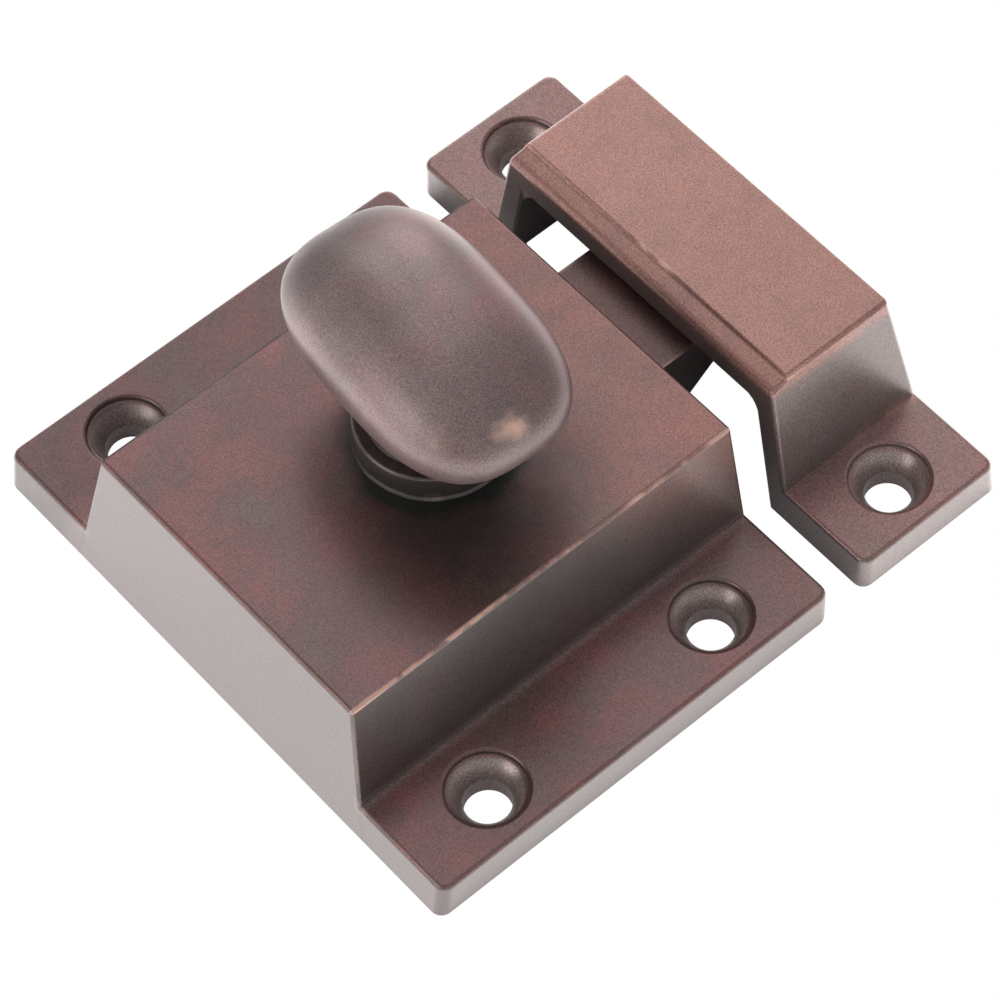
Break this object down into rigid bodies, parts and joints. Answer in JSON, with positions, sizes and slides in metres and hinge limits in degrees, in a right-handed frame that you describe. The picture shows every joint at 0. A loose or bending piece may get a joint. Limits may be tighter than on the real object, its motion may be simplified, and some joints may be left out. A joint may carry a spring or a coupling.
{
  "type": "cabinet turn catch with strike",
  "caption": "Surface catch for a cupboard door: an oval knob draws a sprung bolt back out of a hooded strike.",
  "frame": {"origin": "the middle of the case's four screw holes, at the plane of its back", "axes": "+X the way the bolt shoots, toward the strike; +Z out of the door, along the knob's axis; +Y across the flanges"},
  "size_m": [0.0592, 0.054, 0.0316],
  "materials": {
    "cast_bronze": "dark satin oil-rubbed bronze, worn to copper on some edges",
    "raw_brass": "plain satin brass",
    "plain_steel": "plain bright steel"
  },
  "bodies": {
    "fixed": {"case": "cast_bronze", "collar": "cast_bronze", "back_plate": "raw_brass", "plate_screw_1": "plain_steel", "plate_screw_2": "plain_steel", "plate_screw_3": "plain_steel", "plate_screw_4": "plain_steel", "bolt_spring": "plain_steel", "strike": "cast_bronze"},
    "turning": {"knob": "cast_bronze", "spindle": "plain_steel", "cam": "raw_brass", "cam_washer": "plain_steel", "cam_screw": "plain_steel"},
    "sliding": {"bolt": "cast_bronze"}
  },
  "joints": [
    {"name": "knob_turn", "type": "hinge", "parent": "fixed", "child": "turning", "pos_m": [0.0025, 0, 0], "axis": [0, 0, 1], "range_deg": [0, 70]},
    {"name": "bolt_slide", "type": "slide", "parent": "fixed", "child": "sliding", "axis": [1, 0, 0], "range_m": [-0.0065, 0], "stiffness_N_per_m": 100, "springref_m": 0.003, "deforming": ["bolt_spring"]}
  ],
  "couplings": [
    {"joint": "knob_turn", "follows": "bolt_slide", "rad_per_m": -187.96}
  ]
}
